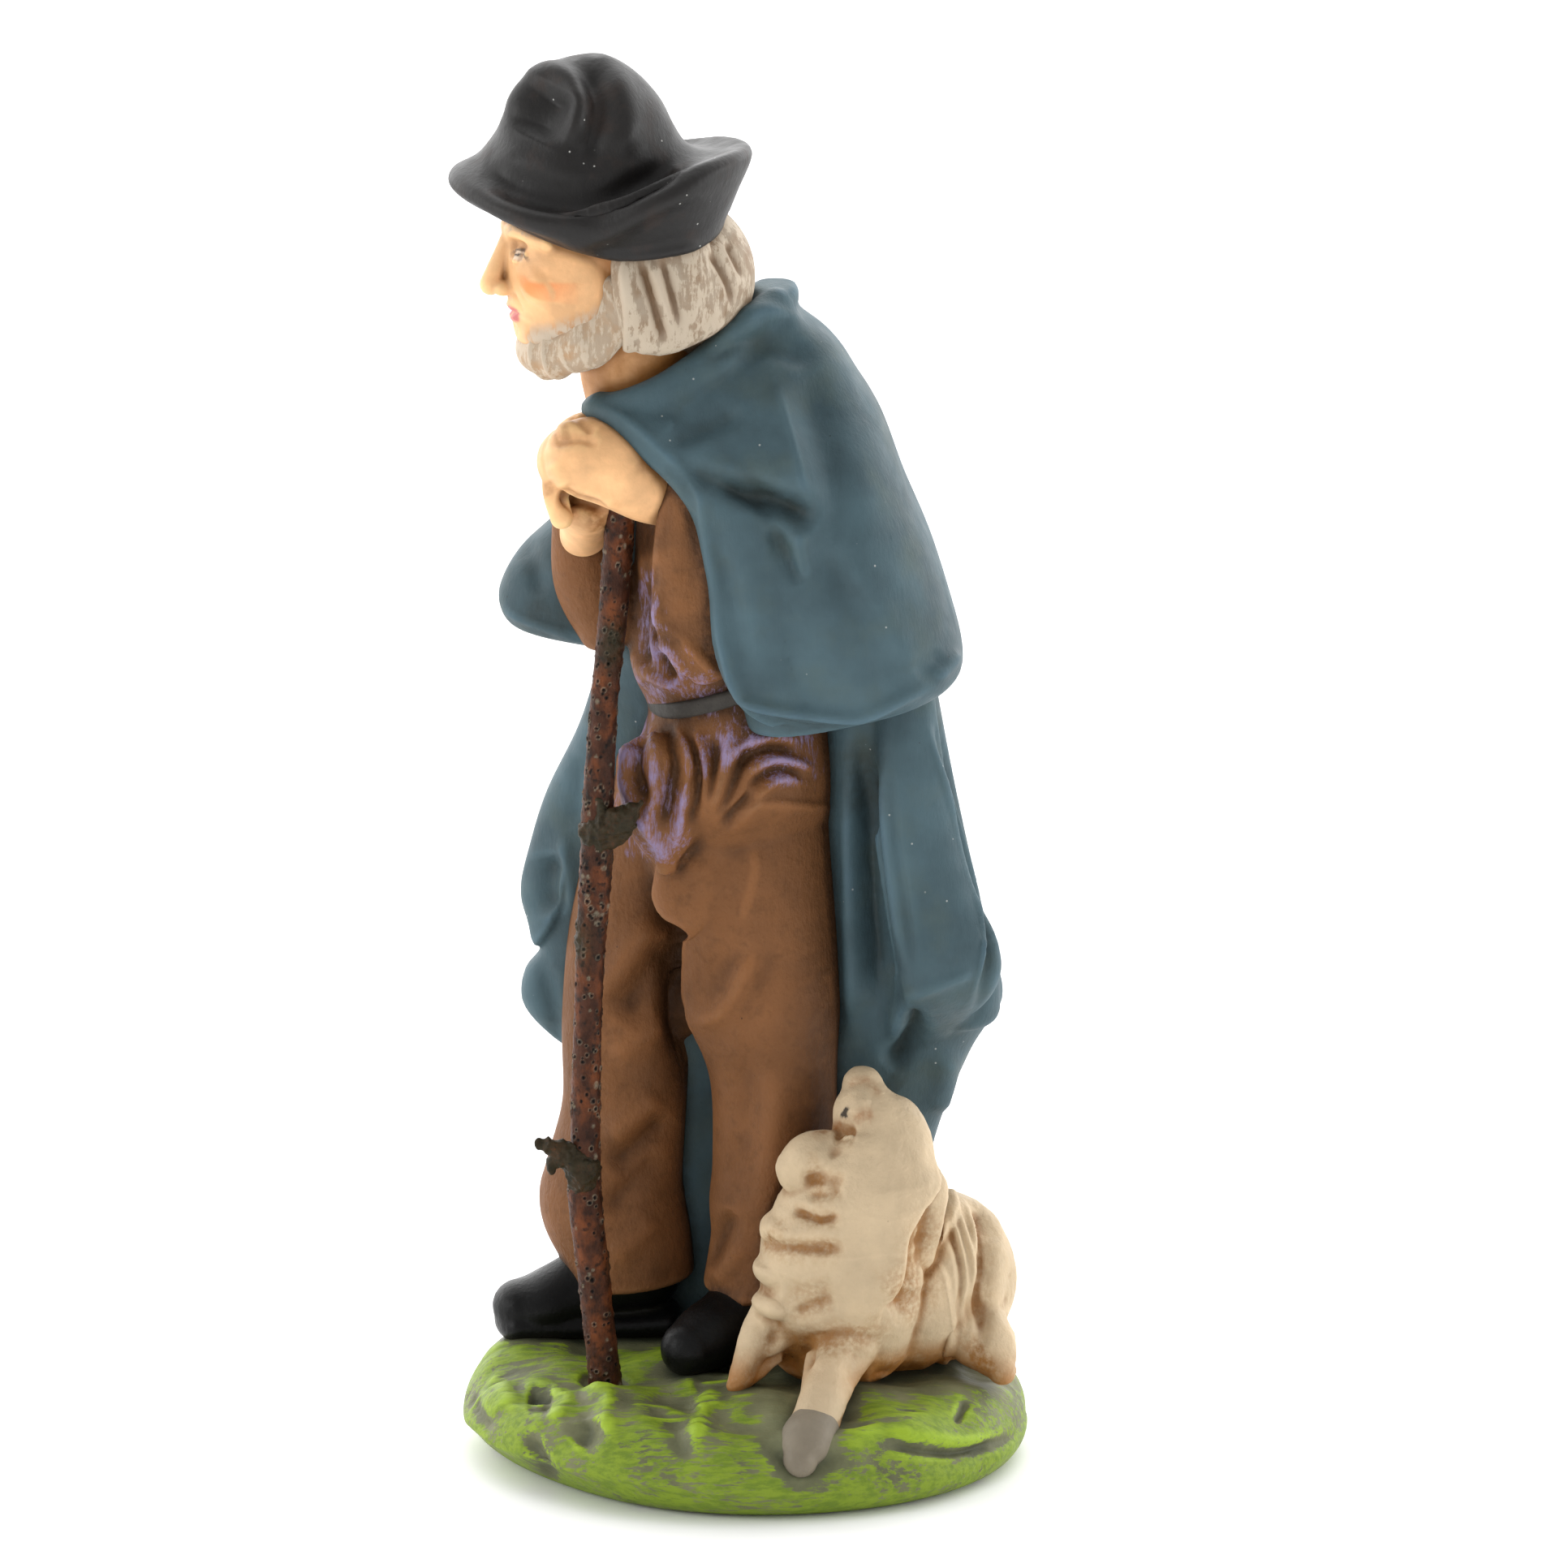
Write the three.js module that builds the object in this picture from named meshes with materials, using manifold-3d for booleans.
// A presepe figure: an old shepherd in hat and cloak, leaning on a real twig, with a sheep at his feet.
// Everything but the twig is one hollow cast, painted. Millimetres, +Z up. The origin is the middle of
// the base's underside, +X is to the right of the front view and -Y is towards the viewer.
import * as THREE from 'three';
import { mergeVertices } from 'three/addons/utils/BufferGeometryUtils.js';
import Module from 'manifold-3d';

const wasm = await Module();
wasm.setup();

// Sizes
const BASE_LENGTH = 69.6; // oval base, left to right
const BASE_WIDTH = 62; // oval base, front to back
const BASE_HEIGHT = 12; // underside to the crest of the grass
const FIGURE_HEIGHT = 166.6; // crest of the grass to the crown of the hat
const STAFF_DIAMETER = 3.9; // real twig with its bark, at the foot
const STAFF_TAPER = 0.94; // its top end's thickness over its foot's
const STAFF_GAP = 0.3; // all round the twig in its hole and in the grip
const SOCKET_DEPTH = 4; // hole in the base, below the grass
const GRIP_DEPTH = 4; // hole in the hands, above the lowest finger
const STUB_DIAMETER = 2.6; // broken side twigs

// The figure is laid out 166.6 high over a ground at 12. Its pose, proportions and modelling keep these
// shares of its height.
const LAYOUT_HEIGHT = 166.6;
const LAYOUT_GROUND = 12;
const SHARE = FIGURE_HEIGHT / LAYOUT_HEIGHT;

// The head's own frame in the layout: x forward from its centre, y to the near side, z up.
const HEAD_CENTRE = new THREE.Vector3(-16.4, -2.4, 156);
const HEAD_TURN = THREE.MathUtils.degToRad(12); // towards the viewer
const HEAD_BOW = THREE.MathUtils.degToRad(6); // downwards

// The hat: rings from the band out to the brim's edge and up to the crown, each as radii and heights at the
// front, near side, back and far side, the share it takes in the brim's roll and how far its corner stands
// out.
const HAT_CENTRE = new THREE.Vector2(-17.8, -2);
const HAT_RINGS = [
  [[3, 3, 3, 3], [158, 156, 157, 156], 0, 0],
  [[12.5, 9.6, 13.6, 9.5], [159.2, 155, 156.2, 155.4], 0, 2.2],
  [[14.8, 12, 15.6, 12], [160.1, 156.4, 158.1, 156.6], 0.25, 2.4],
  [[17, 14.6, 17.2, 14.4], [161, 158.8, 161.4, 158.6], 0.75, 2.2],
  [[18, 15.6, 18.5, 15.2], [162, 160.4, 163.9, 160], 1, 1.8],
  [[17.9, 15.4, 18.6, 15], [162.9, 161.4, 164.9, 161], 1, 1.4],
  [[17.2, 14.7, 17.8, 14.3], [163.7, 162, 165.4, 161.8], 0.95, 0.8],
  [[14.6, 12.7, 14, 12.5], [165.1, 162, 165, 161.9], 0.45, 0],
  [[12.6, 11.2, 11, 11.2], [167.6, 163.4, 166.6, 163.2], 0.1, 0],
  [[11.4, 10.4, 9.4, 10.4], [170, 166.8, 169, 166.6], 0, 0],
  [[9.9, 9.6, 8, 9.6], [173, 170.6, 171.9, 170.6], 0, 0],
  [[7.4, 7.4, 5.7, 7.4], [175.6, 174, 174.7, 174], 0, 0],
  [[4, 4.2, 3.2, 4.2], [177.2, 176.5, 176.7, 176.5], 0, 0],
  [[1.2, 1.4, 1.1, 1.4], [177.8, 177.7, 177.7, 177.7], 0, 0],
];
const HAT_ROLL = [
  { at: 135, spread: 34, lift: 2.6 }, // turned up beside the near ear
  { at: 225, spread: 45, lift: 0.9 }, // a little beside the far one
];
const HAT_CORNER = { at: 135, spread: 30 };

// The twig's bends in the layout, from the grass to the hands, and where side twigs broke off.
const STAFF_BENDS = [
  [-17.75, -8, 16],
  [-18.8, -8, 26],
  [-19.6, -8, 34.5],
  [-19.6, -8, 42],
  [-19.35, -8, 53],
  [-18.95, -8, 63.5],
  [-18.2, -8, 77],
  [-17.3, -8, 95],
  [-16, -8, 108.5],
];
const STAFF_FOOT = [-17.2, -8]; // where it stands, left to right and front to back
const STAFF_HEAD = [-14.7, -8, 123.6]; // where it enters the grip
const STUBS = [
  { from: [-18.1, -8, 83.4], to: [-13.6, -8.6, 85.4] },
  { from: [-19.5, -8, 39.8], to: [-24, -8.2, 41.6] },
];

const ALONG = new THREE.Vector3(1, 0, 0);
const ACROSS = new THREE.Vector3(0, 1, 0);
const UP = new THREE.Vector3(0, 0, 1);

// A closed solid from a geometry's triangles.
function solid(geometry) {
  geometry.deleteAttribute('normal');
  geometry.deleteAttribute('uv');
  const merged = mergeVertices(geometry, 1e-4);
  const index = [];
  for (let i = 0; i < merged.index.count; i += 3) {
    const [a, b, c] = [0, 1, 2].map((k) => merged.index.getX(i + k));
    if (a !== b && b !== c && c !== a) index.push(a, b, c);
  }
  return new wasm.Manifold(
    new wasm.Mesh({
      numProp: 3,
      vertProperties: new Float32Array(merged.attributes.position.array),
      triVerts: new Uint32Array(index),
    }),
  );
}

// Moves every vertex of a geometry to where place(x, y, z) puts it.
function reshape(geometry, place) {
  const position = geometry.attributes.position;
  for (let i = 0; i < position.count; i += 1) {
    const p = place(position.getX(i), position.getY(i), position.getZ(i));
    position.setXYZ(i, p.x, p.y, p.z);
  }
  return geometry;
}

// Squares off a circle's cosine or sine: power 2 keeps the circle, and more is boxier.
function squared(v, power) {
  return Math.sign(v) * Math.abs(v) ** (2 / power);
}

// A capsule bent through points of x, y, z, half width and half thickness. The width lies along side.
function limb(points, { side = ALONG, ends = [1, 1], around = 10, steps = 1, caps = 2, power = 2 } = {}) {
  const path = new THREE.CatmullRomCurve3(
    points.map(([x, y, z]) => new THREE.Vector3(x, y, z)), false, 'catmullrom');
  const halves = new THREE.CatmullRomCurve3(
    points.map(([, , , width, thick]) => new THREE.Vector3(width, thick, 0)), false, 'catmullrom');
  const rows = (points.length - 1) * steps;
  const geometry = new THREE.CapsuleGeometry(1, rows, caps, around, rows);
  return solid(reshape(geometry, (x, y, z) => {
    const t = THREE.MathUtils.clamp((y + rows / 2) / rows, 0, 1);
    const beyond = Math.sign(y) * Math.max(0, Math.abs(y) - rows / 2);
    const tangent = path.getTangent(t);
    const wide = side.clone().addScaledVector(tangent, -tangent.dot(side)).normalize();
    const thick = new THREE.Vector3().crossVectors(wide, tangent);
    const half = halves.getPoint(t);
    const reach = beyond * Math.min(half.x, half.y) * (beyond < 0 ? ends[0] : ends[1]);
    const out = Math.hypot(x, z) || 1;
    return path.getPoint(t)
      .addScaledVector(wide, squared(x / out, power) * out * half.x)
      .addScaledVector(thick, squared(z / out, power) * out * half.y)
      .addScaledVector(tangent, reach);
  }));
}

// A ball of three radii about a centre, turned by degrees about X, Y and Z.
function blob(centre, radii, { turn = [0, 0, 0], around = 10 } = {}) {
  const geometry = new THREE.SphereGeometry(1, around, Math.round(around / 2));
  const angles = turn.map((angle) => THREE.MathUtils.degToRad(angle));
  const matrix = new THREE.Matrix4().compose(
    new THREE.Vector3(...centre),
    new THREE.Quaternion().setFromEuler(new THREE.Euler(...angles, 'ZYX')),
    new THREE.Vector3(...radii),
  );
  return solid(geometry.rotateX(Math.PI / 2).applyMatrix4(matrix));
}

// A cylinder whose levels take the sections z, left, right, front, back and rise (of the right side over the
// left).
function loft(levels, { power = 2, around = 22, steps = 1 } = {}) {
  const sides = new THREE.CatmullRomCurve3(
    levels.map(([z, left, right]) => new THREE.Vector3(z, left, right)), false, 'catmullrom');
  const depths = new THREE.CatmullRomCurve3(
    levels.map(([, , , front, back, rise = 0]) => new THREE.Vector3(front, back, rise)), false, 'catmullrom');
  const geometry = new THREE.CylinderGeometry(1, 1, 1, around, (levels.length - 1) * steps);
  return solid(reshape(geometry, (x, y, z) => {
    const side = sides.getPoint(y + 0.5);
    const depth = depths.getPoint(y + 0.5);
    const across = squared(x, power);
    return new THREE.Vector3(
      (side.y + side.z) / 2 + ((side.z - side.y) / 2) * across,
      (depth.x + depth.y) / 2 + ((depth.y - depth.x) / 2) * squared(-z, power),
      side.x + (depth.z / 2) * across,
    );
  }));
}

function union(solids) {
  return solids.reduce((sum, next) => sum.add(next));
}

// Height of the grass at a point of the base.
function ground(x, y) {
  const out = Math.hypot((2 * x) / BASE_LENGTH, (2 * y) / BASE_WIDTH);
  const lumps = 0.35 * Math.sin(0.42 * x + 0.3 * y) + 0.3 * Math.sin(0.55 * y - 0.21 * x);
  return BASE_HEIGHT * (1 - 0.233 * out ** 4) + lumps;
}

function base() {
  const rim = [
    [0, 0], [0.9, 0], [0.955, 0.05], [0.985, 0.18], [1, 0.37], [0.992, 0.56], [0.965, 0.73],
  ];
  const top = [0.91, 0.76, 0.56, 0.34, 0.14, 0];
  const profile = [...rim, ...top.map((share) => [share, 1])].map(([r, z]) => new THREE.Vector2(r, z));
  return solid(reshape(new THREE.LatheGeometry(profile, 36), (x, y, z) => {
    const side = THREE.MathUtils.euclideanModulo(THREE.MathUtils.radToDeg(Math.atan2(-z, x)), 360);
    const pressed = Math.exp(-(((side - 216) / 38) ** 2)) * Math.max(0, 1 - y * 1.8); // front left, below
    const px = ((x * BASE_LENGTH) / 2) * (1 - 0.1 * pressed);
    const py = ((-z * BASE_WIDTH) / 2) * (1 - 0.1 * pressed);
    return new THREE.Vector3(px, py, y === 1 ? ground(px, py) : y * BASE_HEIGHT);
  }));
}

function shoes() {
  return [
    // far shoe
    limb([
      [-28.2, 8.6, 15.6, 4.4, 3.4],
      [-25.2, 9, 16, 5.2, 4],
      [-20, 10, 17.8, 5, 4.9],
      [-14, 11, 20.5, 6.3, 6.5],
    ], { side: ACROSS }),
    // far sole
    limb([
      [-28.8, 8.6, 13.8, 5, 2.5],
      [-20, 10, 13.6, 5.4, 2.2],
      [-10, 11, 13.6, 5.4, 2.2],
    ], { side: ACROSS }),
    // near shoe
    limb([
      [-6.8, -6.6, 14.8, 3.7, 3.6],
      [-4.6, -4.4, 15.6, 4.7, 4.2],
      [-1, -1, 16.8, 5.2, 4.8],
      [3, 3, 20, 6, 6],
    ], { side: new THREE.Vector3(1, -1, 0) }),
  ];
}

function clothes() {
  return [
    // near leg
    limb([
      [0, 6, 88, 11, 10],
      [1.2, 5, 76, 10.2, 10],
      [2.4, 4.5, 66, 9.6, 9.8],
      [2.5, 4, 58, 9.7, 9.3],
      [3.4, 4, 47, 8.3, 8.8],
      [3.2, 3.6, 36, 8.2, 8.4],
      [3, 3.5, 31, 8.2, 8.4],
      [3.5, 3.5, 26.5, 7.7, 8.2],
      [3.3, 3.5, 20, 8.5, 8.8],
    ], { side: ALONG, ends: [1, 0.12] }),
    // far leg
    limb([
      [-5, 9.5, 88, 9.5, 9.5],
      [-10.5, 11, 74, 9, 9],
      [-13.4, 11.5, 64, 8.4, 8.6],
      [-14.6, 11.8, 52, 8.2, 8.4],
      [-14.8, 12, 41, 8, 8.4],
      [-15.8, 12, 32, 9.2, 9],
      [-16, 12, 28.5, 9.7, 9.4],
      [-14.6, 11.8, 23.5, 9, 9.2],
      [-14.2, 11.6, 18.8, 8.8, 9],
    ], { side: ALONG, ends: [1, 0.12] }),
    // seat
    blob([-1.5, 6.8, 80], [12.6, 11.5, 15]),
    // gathered cloth at the crotch
    blob([-2.6, 1.8, 74.5], [8.4, 7, 9]),
    // tunic
    loft([
      [75, -9, 9.5, -2.6, 13],
      [80, -13.6, 11.2, -5.6, 17],
      [86, -15.4, 11.5, -8.8, 17, 2.5],
      [93.2, -13.4, 10.8, -7.4, 16, 6.5],
      [98.2, -11.8, 9.8, -6.4, 15, 8],
      [102, -13.6, 10.2, -7.6, 15.5, 6.5],
      [105.4, -14.2, 10.5, -8, 16, 4.5],
      [110, -13.8, 10.5, -7.5, 16, 2],
      [120, -13, 10, -6, 16],
      [128, -11, 8, -4, 14],
    ]),
    // front point of the tunic
    limb([
      [-8.6, -4.6, 90, 6.4, 3.2],
      [-9.6, -4.6, 83.5, 5.6, 2.9],
      [-9.8, -4, 79.4, 3.6, 2.2],
      [-9.6, -3.2, 76.6, 1.4, 1.4],
    ], { side: ALONG }),
    // near sleeve
    limb([
      [-4.4, -9.4, 128, 4.4, 4.2],
      [-5.2, -9.8, 123, 5, 4.9],
      [-5.4, -9.8, 116, 5.6, 5.1],
      [-4.6, -9.4, 109.5, 6.2, 4.9],
      [-1.6, -9, 104.5, 5.6, 4],
    ], { side: ALONG, ends: [0.6, 0.5], power: 3.6 }),
    // far sleeve
    limb([
      [-19.8, 2.5, 118.5, 3.8, 4.2],
      [-18.6, 3.5, 111, 4.9, 5],
      [-15.4, 4.5, 105, 5.2, 4.8],
    ], { side: ALONG, ends: [0.8, 0.5] }),
    // belt
    loft([
      [97.1, -11.4, 9.6, -6.4, 15, 8],
      [97.7, -12.3, 10.4, -7.3, 15.2, 8],
      [99.3, -12.2, 10.4, -7.2, 15.2, 8],
      [99.9, -11.4, 9.6, -6.4, 15, 8],
    ], { around: 20 }),
  ];
}

function cloak() {
  return [
    // cape over the shoulders and the near arm
    loft([
      [97, 4, 20, -9, 8, 3],
      [96.2, 0.6, 24, -13.6, 12.6, 5],
      [99.2, -0.8, 26.6, -16.4, 15, 3.4],
      [104, -1.8, 26.8, -17.2, 16, 0],
      [110, -2.6, 25.2, -17.4, 17.5, 0],
      [117, -3.4, 22.9, -17.2, 18.5, 0],
      [124, -5.2, 19.9, -16.5, 19, 0],
      [129, -9.6, 18.1, -15.4, 19, 0],
      [132, -14.6, 16.9, -13.6, 18.4, 0],
      [134.6, -17.6, 15.5, -11.6, 17.2, 0],
      [137, -15.6, 14, -10.2, 15.4, 0],
      [139.5, -11, 12.2, -8.6, 13.6, 1],
      [142, -6.4, 10, -6.4, 11.5, 1],
      [144.6, -2.6, 6.9, -4.2, 8.8, 1],
      [146.6, 0.2, 6.8, -2.6, 7.6, 0.5],
      [148.2, 1.2, 6.6, -1, 6.4, 0],
    ], { power: 2.6 }),
    // front edge of the cape
    limb([
      [-17.4, -5.6, 134.6, 2.2, 2],
      [-12, -9.8, 133, 3.6, 2.4],
      [-5.6, -12.8, 129.6, 4.6, 2.6],
      [-1.6, -14.2, 124.6, 5, 2.8],
      [0.4, -14.6, 116, 4.9, 2.9],
      [1.2, -14.6, 107, 4.9, 2.9],
      [3.6, -14.2, 101.4, 4.6, 2.8],
      [7.5, -13.5, 98.8, 3.6, 2.6],
    ], { side: ALONG }),
    // collar
    limb([
      [-18, -4.4, 134.2, 1.8, 2],
      [-14, -7.4, 135, 2.4, 2.4],
      [-9, -8.4, 137, 2.8, 2.6],
      [-4, -7.4, 140.2, 2.9, 2.6],
      [0.2, -4.6, 143.6, 2.8, 2.4],
      [4, -1, 146.2, 2.4, 2.2],
    ], { side: UP, around: 8 }),
    // cape over the far arm
    loft([
      [101.6, -22, 10, 3, 20],
      [103, -28.4, 14, 2, 22.4],
      [105.6, -30.3, 15, 2, 23.2],
      [108.6, -29.9, 15.4, 2, 23.2],
      [112.6, -27.5, 15.2, 2, 23],
      [117, -22.8, 14.4, 3, 23],
      [124, -17, 13, 4, 22.4],
      [130, -13, 11, 4, 21.2],
      [136, -10, 9, 5, 19],
      [141, -6, 7.6, 5, 15],
    ], { power: 2.4 }),
    // long fall of the cloak
    loft([
      [10, -14, 20, 11, 25],
      [24, -14, 21.5, 11, 26],
      [37.4, -15, 24.2, 11, 27],
      [44, -18.6, 26, 10.5, 27.5],
      [48.3, -24.4, 28.6, 10, 28],
      [52.4, -27.8, 32.2, 9.4, 28.5],
      [56.6, -27.5, 31.9, 9, 28.5],
      [59.2, -25.6, 30.6, 8.6, 28.5],
      [61.8, -26.6, 29.9, 8.4, 28.3],
      [66.9, -28, 28.4, 8, 28],
      [73.1, -26.8, 27, 7.5, 27.5],
      [80.4, -24.6, 25.2, 6, 26.5],
      [89.2, -20.6, 22.6, 4, 25],
      [98, -18, 21.2, 0, 23],
      [108, -15, 20, -2, 20],
    ], { power: 2.3 }),
    // fall down the back of the figure
    loft([
      [10, 3, 20.5, 6, 22],
      [24, 2.5, 21.5, 4, 22],
      [37.4, 3, 24, 3, 23],
      [48.3, 5, 28.2, 2, 24],
      [54.4, 9, 31.4, 0.5, 25],
      [59.2, 9, 30.2, -1, 25],
      [66.9, 9, 28, -1.6, 25],
      [73.1, 9, 26.6, -2, 25],
      [80.4, 9, 24.8, -2.6, 24],
      [89.2, 9, 22.2, -3.6, 23],
      [98, 9, 21, -5, 21],
      [106, 9, 20, -5, 18],
    ], { power: 2.6 }),
    // near front panel
    limb([
      [19, -2.4, 99, 3.8, 4.4],
      [20.2, -3.6, 85, 4.8, 4.2],
      [22.2, -4.7, 72, 6.3, 4],
      [24.2, -5, 65, 7.4, 3.9],
      [25, -4.6, 61.4, 6.8, 3.2],
    ], { side: new THREE.Vector3(1, 0.4, 0), ends: [1, 0.3], power: 3 }),
    // outer fold behind the panel
    limb([
      [20.8, 2, 97, 3, 5],
      [22.8, 2.5, 84, 3.4, 5],
      [25, 3, 70, 4.2, 5.2],
      [27, 3.5, 60, 4.6, 5],
      [27.2, 4, 55.6, 4.6, 4.6],
    ], { side: ALONG, ends: [1, 0.5] }),
  ];
}

function hands() {
  const fingers = [0.58, 1, 0.9, 0.45].map((lift, k) => {
    const y = -10.8 + 2.7 * k;
    return limb([
      [-17, y, 130.6 + lift, 1.6, 1.7],
      [-21, y + 0.4, 129.8 + lift, 1.7, 1.75],
      [-23.2, y + 0.6, 126, 1.55, 1.6],
      [-22, y + 0.4, 121.8, 1.3, 1.4],
    ], { side: ACROSS, around: 8, caps: 1 });
  });
  return [
    ...fingers,
    // near wrist and hand
    limb([
      [-9.4, -8.8, 124, 3.6, 3.6],
      [-11.8, -9.6, 125.4, 4.2, 4.2],
      [-15.6, -10.4, 127.9, 4.8, 4.7],
      [-19.2, -9.6, 129.2, 5.4, 4.9],
      [-20.8, -8.4, 128.8, 4.8, 4.2],
    ], { side: ACROSS }),
    // far wrist and hand
    limb([
      [-19.8, 2, 116, 3, 3.2],
      [-19.2, -2.5, 119.9, 3.2, 3.4],
      [-19, -6.5, 122.6, 3.8, 3.6],
    ], { side: ALONG }),
    // neck
    limb([
      [-10.5, 0.5, 148, 8, 7.5],
      [-12.8, 0.6, 139.5, 7.4, 6.6],
      [-9, 2, 130, 9, 7],
    ], { side: ALONG }),
  ];
}

function head() {
  const forward = new THREE.Vector3(
    -Math.cos(HEAD_TURN) * Math.cos(HEAD_BOW), -Math.sin(HEAD_TURN) * Math.cos(HEAD_BOW), -Math.sin(HEAD_BOW));
  const near = new THREE.Vector3(Math.sin(HEAD_TURN), -Math.cos(HEAD_TURN), 0);
  const up = new THREE.Vector3().crossVectors(forward, near);
  const place = new THREE.Matrix4().makeBasis(forward, near, up).setPosition(HEAD_CENTRE);
  const forms = [
    // skull
    blob([-0.4, 0, 0.8], [12, 9.2, 10]),
    // face
    blob([5, 0, -4], [8.4, 8.8, 11.5]),
    // jaw
    blob([7.6, 0, -10.2], [5.4, 6, 4.4]),
    // nose
    limb([
      [12.2, 0, 1, 1.1, 1.1],
      [13.5, 0, -1.4, 1.15, 1.2],
      [14.6, 0, -3.4, 1.3, 1.3],
      [15.2, 0, -4.5, 1.5, 1.35],
    ], { side: ACROSS, around: 8, caps: 1 }),
    // brow
    limb([
      [8.8, -6.8, 1.2, 1.2, 1.1],
      [11.4, -3, 2, 1.3, 1.1],
      [12, 0, 1.6, 1.3, 1],
      [11.4, 3, 2, 1.3, 1.1],
      [8.8, 6.8, 1.2, 1.2, 1.1],
    ], { side: UP, around: 6, caps: 1 }),
    // hair at the back of the head
    blob([-8, 0, -6.8], [9, 10.2, 9.4]),
    // hair over the far ear
    limb([
      [-4.6, 8.2, 1, 6, 2.2],
      [-4.6, 8.8, -6, 6.6, 2.2],
      [-5.4, 8.2, -12, 6.4, 2],
    ], { side: ALONG }),
    // hair over the near ear
    limb([
      [-4.6, -8.2, 1, 6, 2.2],
      [-4.6, -8.8, -6, 6.6, 2.2],
      [-5.4, -8.2, -12, 6.4, 2],
    ], { side: ALONG }),
    // beard
    limb([
      [1.6, 7.4, -5, 2.2, 1.3],
      [3, 7, -9.4, 3.4, 1.8],
      [6, 5.4, -12.2, 3.4, 2.4],
      [9, 2.8, -13.4, 3, 2.8],
      [10, 0, -13.6, 2.9, 2.9],
      [9, -2.8, -13.4, 3, 2.8],
      [6, -5.4, -12.2, 3.4, 2.4],
      [3, -7, -9.4, 3.4, 1.8],
      [1.6, -7.4, -5, 2.2, 1.3],
    ], { side: UP }),
    // beard under the chin
    blob([5.5, 0, -12.2], [6, 6.6, 4.2]),
  ];
  return [union(forms).transform(place.elements)];
}

function hat() {
  const last = HAT_RINGS.length + 1;
  const profile = [new THREE.Vector2(0, 0)];
  for (let ring = 1; ring < last; ring += 1) profile.push(new THREE.Vector2(1, ring));
  profile.push(new THREE.Vector2(0, last));
  const blend = ([front, near, back, far], c, s) => (
    (front + near + back + far) / 4 + ((front - back) / 2) * c + ((near - far) / 2) * s
    + ((front + back - near - far) / 4) * (c * c - s * s)
  );
  return [solid(reshape(new THREE.LatheGeometry(profile, 26), (x, y, z) => {
    const ring = THREE.MathUtils.clamp(Math.round(y), 1, last - 1) - 1;
    const [radii, heights, share, corner] = HAT_RINGS[ring];
    const pole = x === 0 && z === 0;
    const [c, s] = pole ? [0, 0] : [-x, z];
    const angle = THREE.MathUtils.radToDeg(Math.atan2(s, c));
    let height = blend(heights, c, s);
    const bump = ({ at, spread }) => {
      const off = THREE.MathUtils.euclideanModulo(angle - at + 180, 360) - 180;
      return Math.exp(-((off / spread) ** 2));
    };
    for (const roll of HAT_ROLL) height += share * roll.lift * bump(roll);
    const radius = blend(radii, c, s) + corner * bump(HAT_CORNER);
    return new THREE.Vector3(HAT_CENTRE.x - radius * c, HAT_CENTRE.y - radius * s, height);
  }))];
}

function sheep() {
  return [
    // haunch
    blob([23.6, 2, 21.6], [10.4, 10.2, 10.9]),
    // barrel
    blob([17, -1, 20.5], [11.4, 10, 11], { turn: [0, -8, 0] }),
    // mantle of the neck, and the head
    limb([
      [11.6, -8.4, 16.5, 9, 6],
      [11.9, -9.2, 22, 9.9, 7.6],
      [12.2, -9.8, 28.5, 10.2, 8.2],
      [14.2, -9.4, 35, 8.9, 7.8],
      [15.6, -8.4, 39, 8, 7],
      [16.4, -7, 42.4, 6.6, 5.6],
      [15.1, -5.8, 46, 4.3, 4.2],
      [14.7, -4.8, 48.2, 2.6, 2.8],
    ], { side: ALONG }),
    // ear
    limb([
      [12.5, -9.6, 40.8, 3.2, 3.4],
      [8.6, -10.8, 40.6, 3.5, 3.6],
      [7.2, -11, 39.4, 3.3, 3.3],
    ], { side: UP, around: 8 }),
    // upper roll of the mantle
    blob([5.6, -10.6, 31.6], [3.7, 4.6, 2.6], { around: 8 }),
    // middle roll of the mantle
    blob([4.6, -11, 26.4], [3.6, 4.2, 2], { around: 8 }),
    // lower roll of the mantle
    blob([4.4, -11, 22.4], [3.6, 4.2, 1.7], { around: 8 }),
    // fleece beside the neck
    limb([
      [19.5, -8, 39, 3, 4.4],
      [21.6, -7, 35, 3.2, 5],
      [20.4, -7, 28, 3.4, 5],
    ], { side: ALONG }),
    // foreleg
    limb([
      [12.6, -12.5, 18, 4.6, 4],
      [10.8, -17, 15, 3.5, 3.3],
      [9.6, -21.4, 12.4, 3, 2.9],
      [8.7, -24.2, 10.4, 3.1, 2.8],
    ], { side: ALONG }),
    // folded foreleg
    limb([
      [4.8, -10.4, 20, 4.4, 3.6],
      [1.8, -12.6, 16.4, 3, 2.6],
      [-0.9, -14.8, 12.6, 1.3, 1.5],
    ], { side: ALONG }),
    // hind leg
    limb([
      [27, -3, 18, 5, 4],
      [30.6, -6, 14.4, 3.6, 3],
      [32, -8, 12.4, 1.8, 2],
    ], { side: ALONG }),
    // hoof
    limb([
      [8.6, -24.4, 10.2, 3.4, 3],
      [7.6, -26.6, 8.6, 3.4, 2.9],
      [7, -27.8, 7.7, 2.4, 2],
    ], { side: ALONG }),
  ];
}

// A point of the layout in the object's own millimetres.
function placed([x, y, z]) {
  return [x * SHARE, y * SHARE, BASE_HEIGHT + (z - LAYOUT_GROUND) * SHARE];
}

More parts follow.
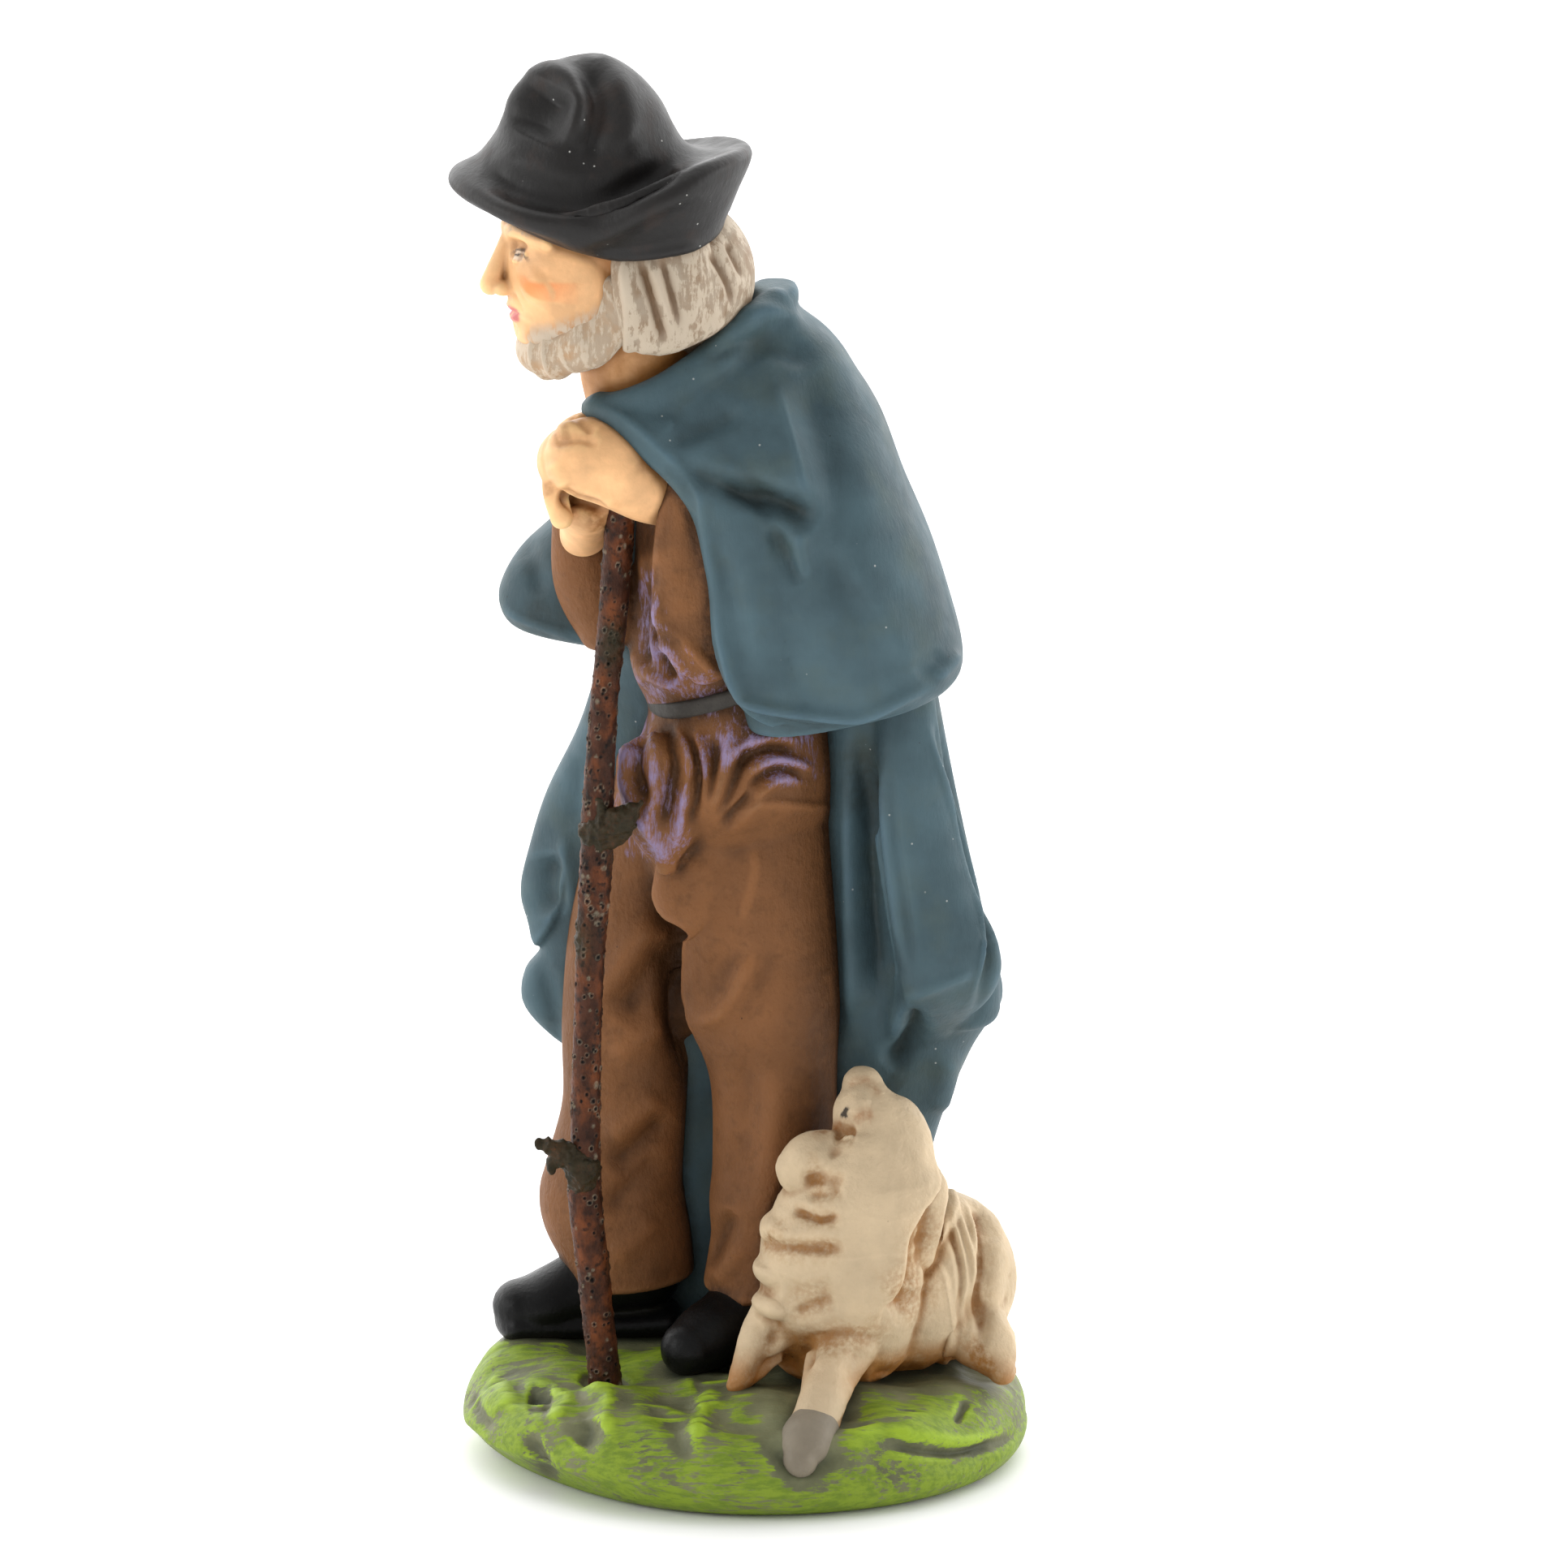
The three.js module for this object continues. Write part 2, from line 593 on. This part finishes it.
// The twig, grown all round and at both ends by extra.
function twig(extra) {
  const foot = [STAFF_FOOT[0] * SHARE, STAFF_FOOT[1] * SHARE];
  const [hx, hy, hz] = placed(STAFF_HEAD);
  const axis = [
    [...foot, ground(...foot) - SOCKET_DEPTH - extra],
    [...foot, ground(...foot)],
    ...STAFF_BENDS.map(placed),
    [hx, hy, hz],
    [hx, hy, hz + GRIP_DEPTH + extra],
  ];
  const rows = axis.map((point, i) => {
    const half = (STAFF_DIAMETER / 2) * (1 + ((STAFF_TAPER - 1) * i) / (axis.length - 1)) + extra;
    return [...point, half, half];
  });
  return limb(rows, { ends: [0.05, 0.05], steps: 2, around: 12, caps: 1 });
}

function stubs() {
  const half = STUB_DIAMETER / 2;
  return STUBS.map(({ from, to }) => {
    const ends = [placed(from), placed(to)];
    return limb([[...ends[0], half, half], [...ends[1], half * 0.8, half * 0.7]], {
      side: UP, ends: [1, 0.5], around: 10,
    });
  });
}

function mesh(name, shape, material) {
  const { vertProperties, triVerts } = shape.getMesh();
  const geometry = new THREE.BufferGeometry();
  geometry.setAttribute('position', new THREE.BufferAttribute(new Float32Array(vertProperties), 3));
  geometry.setIndex(new THREE.BufferAttribute(new Uint32Array(triVerts), 1));
  geometry.computeVertexNormals();
  const made = new THREE.Mesh(geometry, material);
  made.name = name;
  return made;
}

const layout = new THREE.Matrix4().makeScale(SHARE, SHARE, SHARE)
  .setPosition(0, 0, BASE_HEIGHT - LAYOUT_GROUND * SHARE);
const figure = union([...shoes(), ...clothes(), ...cloak(), ...hands(), ...head(), ...hat(), ...sheep()]);
const cast = base().add(figure.transform(layout.elements)).subtract(twig(STAFF_GAP));

const plaster = new THREE.MeshStandardMaterial({ color: 0x56758a, roughness: 0.6, metalness: 0 });
const bark = new THREE.MeshStandardMaterial({ color: 0x5f3a2e, roughness: 0.75, metalness: 0 });

const part = new THREE.Group();
part.add(mesh('shepherd_cast', cast, plaster));
part.add(mesh('twig_staff', union([twig(0), ...stubs()]), bark));

export default part;
